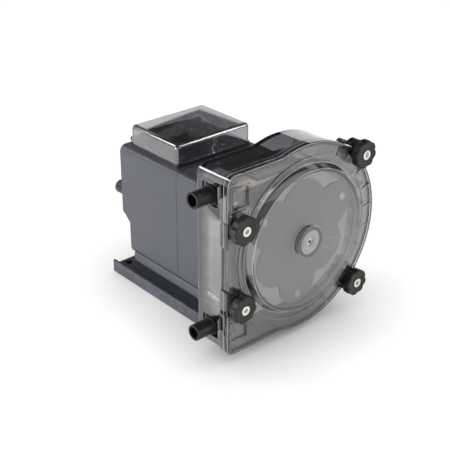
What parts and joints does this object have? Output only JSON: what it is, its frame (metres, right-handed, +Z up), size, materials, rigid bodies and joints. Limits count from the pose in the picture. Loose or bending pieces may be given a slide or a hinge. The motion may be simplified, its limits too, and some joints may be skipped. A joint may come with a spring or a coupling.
{
  "type": "peristaltic metering pump",
  "caption": "Peristaltic metering pump: clear round head with a pressed tube on rollers, side port stubs, fluted knobs, and a boxy gear motor drive with a clear hinged lid.",
  "frame": {"origin": "middle of the rectangle of base mounting holes, in the plane of the bench under the base", "axes": "+Z up; -Y out of the round clear face of the head; -X along the two port stubs, away from the head"},
  "size_m": [0.174, 0.1986, 0.164],
  "materials": {
    "base": "satin moulded",
    "pedestal": "satin moulded",
    "housing": "semi gloss",
    "screw_steel": "bright",
    "bronze": "sintered",
    "seal_rubber": "matt",
    "plate_steel": "pressed sheet",
    "gear_plastic": "natural acetal",
    "shaft_steel": "ground",
    "motor_steel": "plated",
    "magnet": "sintered ferrite",
    "armature": "laminations and winding",
    "black_plastic": "moulded",
    "panel": "satin moulded",
    "lid_clear": "clear smoked plastic",
    "switch_chrome": "plated",
    "lamp_lens": "clear lens",
    "board": "solder mask",
    "capacitor": "sleeved can",
    "fuse_glass": "clear",
    "head_clear": "clear smoked plastic",
    "cover_clear": "clear smoked plastic",
    "bearing_plastic": "natural",
    "knob_plastic": "moulded",
    "stud_brass": "plated insert",
    "rotor_grey": "satin moulded",
    "roller_plastic": "smooth",
    "tube_rubber": "smooth elastomer",
    "fitting_plastic": "moulded",
    "clamp_steel": "strip"
  },
  "bodies": {
    "housing": {"base_plate": "base", "pedestal": "pedestal", "gear_housing": "housing", "motor_housing": "housing", "base_screws": "screw_steel", "housing_screws": "screw_steel", "gearbox_screws": "screw_steel", "motor_screws": "screw_steel", "panel_screws": "screw_steel", "head_screws": "screw_steel", "gearbox_pillars": "screw_steel", "board_posts": "screw_steel", "shaft_bush": "bronze", "shaft_seal": "seal_rubber", "cord_inlet": "seal_rubber", "gearbox_plate": "plate_steel", "idler_pin": "shaft_steel", "hinge_pin": "shaft_steel", "motor_can": "motor_steel", "motor_magnets": "magnet", "motor_cap": "black_plastic", "fuse_holder": "black_plastic", "switch_body": "black_plastic", "dial_body": "black_plastic", "control_panel": "panel", "switch_nut": "switch_chrome", "lamp": "lamp_lens", "circuit_board": "board", "board_capacitors": "capacitor", "fuse": "fuse_glass", "head_shell": "head_clear", "head_cover": "cover_clear", "cover_bearing": "bearing_plastic", "pump_tube": "tube_rubber", "upper_fitting": "fitting_plastic", "lower_fitting": "fitting_plastic", "tube_clamps": "clamp_steel"},
    "lid": {"lid": "lid_clear"},
    "switch_lever": {"switch_lever": "switch_chrome"},
    "dial": {"dial_knob": "black_plastic"},
    "fuse_cap": {"fuse_cap": "black_plastic"},
    "upper_left_knob": {"knob_upper_left": "knob_plastic", "stud_upper_left": "stud_brass"},
    "lower_left_knob": {"knob_lower_left": "knob_plastic", "stud_lower_left": "stud_brass"},
    "upper_right_knob": {"knob_upper_right": "knob_plastic", "stud_upper_right": "stud_brass"},
    "lower_right_knob": {"knob_lower_right": "knob_plastic", "stud_lower_right": "stud_brass"},
    "rotor": {"output_shaft": "shaft_steel", "output_gear": "gear_plastic", "rotor_front_plate": "rotor_grey", "rotor_rear_plate": "rotor_grey", "rotor_hub": "rotor_grey", "roller_pins": "shaft_steel"},
    "first_roller": {"roller_first": "roller_plastic"},
    "second_roller": {"roller_second": "roller_plastic"},
    "third_roller": {"roller_third": "roller_plastic"},
    "idler": {"idler_gear": "gear_plastic"},
    "armature": {"motor_armature": "armature"}
  },
  "joints": [
    {"name": "lid_hinge", "type": "hinge", "parent": "housing", "child": "lid", "pos_m": [0, 0.0614, 0.1247], "axis": [-1, 0, 0], "range_deg": [0, 105]},
    {"name": "switch_throw", "type": "hinge", "parent": "housing", "child": "switch_lever", "pos_m": [0.0075, 0.0049, 0.1211], "axis": [0, 1, 0], "range_deg": [-12, 12]},
    {"name": "dial_turn", "type": "hinge", "parent": "housing", "child": "dial", "pos_m": [0.01, 0.0364, 0.1185], "axis": [0, 0, 1], "range_deg": [-150, 150]},
    {"name": "fuse_cap_turn", "type": "hinge", "parent": "housing", "child": "fuse_cap", "pos_m": [-0.038, 0.065, 0.0755], "axis": [0, 1, 0], "range_deg": [0, 90]},
    {"name": "upper_left_knob_turn", "type": "hinge", "parent": "housing", "child": "upper_left_knob", "pos_m": [-0.0683, -0.1095, 0.118], "axis": [0, -1, 0], "range_deg": [0, 1440]},
    {"name": "lower_left_knob_turn", "type": "hinge", "parent": "housing", "child": "lower_left_knob", "pos_m": [-0.0683, -0.1095, 0.052], "axis": [0, -1, 0], "range_deg": [0, 1440]},
    {"name": "upper_right_knob_turn", "type": "hinge", "parent": "housing", "child": "upper_right_knob", "pos_m": [0.05652, -0.1095, 0.14232], "axis": [0, -1, 0], "range_deg": [0, 1440]},
    {"name": "lower_right_knob_turn", "type": "hinge", "parent": "housing", "child": "lower_right_knob", "pos_m": [0.05652, -0.1095, 0.02768], "axis": [0, -1, 0], "range_deg": [0, 1440]},
    {"name": "rotor_spin", "type": "hinge", "parent": "housing", "child": "rotor", "pos_m": [0, -0.0905, 0.085], "axis": [0, 1, 0], "continuous": true},
    {"name": "first_roller_spin", "type": "hinge", "parent": "rotor", "child": "first_roller", "pos_m": [0.04378, -0.0905, 0.10731], "axis": [0, 1, 0], "continuous": true},
    {"name": "second_roller_spin", "type": "hinge", "parent": "rotor", "child": "second_roller", "pos_m": [-0.04121, -0.0905, 0.11176], "axis": [0, 1, 0], "continuous": true},
    {"name": "third_roller_spin", "type": "hinge", "parent": "rotor", "child": "third_roller", "pos_m": [-0.00257, -0.0905, 0.03593], "axis": [0, 1, 0], "continuous": true},
    {"name": "idler_spin", "type": "hinge", "parent": "housing", "child": "idler", "pos_m": [0.01874, -0.0315, 0.07], "axis": [0, 1, 0], "continuous": true},
    {"name": "armature_spin", "type": "hinge", "parent": "housing", "child": "armature", "pos_m": [0, 0, 0.055], "axis": [0, 1, 0], "continuous": true}
  ],
  "couplings": [
    {"joint": "first_roller_spin", "follows": "rotor_spin", "ratio": -8.02},
    {"joint": "second_roller_spin", "follows": "rotor_spin", "ratio": -8.02},
    {"joint": "third_roller_spin", "follows": "rotor_spin", "ratio": -8.02},
    {"joint": "idler_spin", "follows": "rotor_spin", "ratio": -4},
    {"joint": "armature_spin", "follows": "rotor_spin", "ratio": 16}
  ]
}
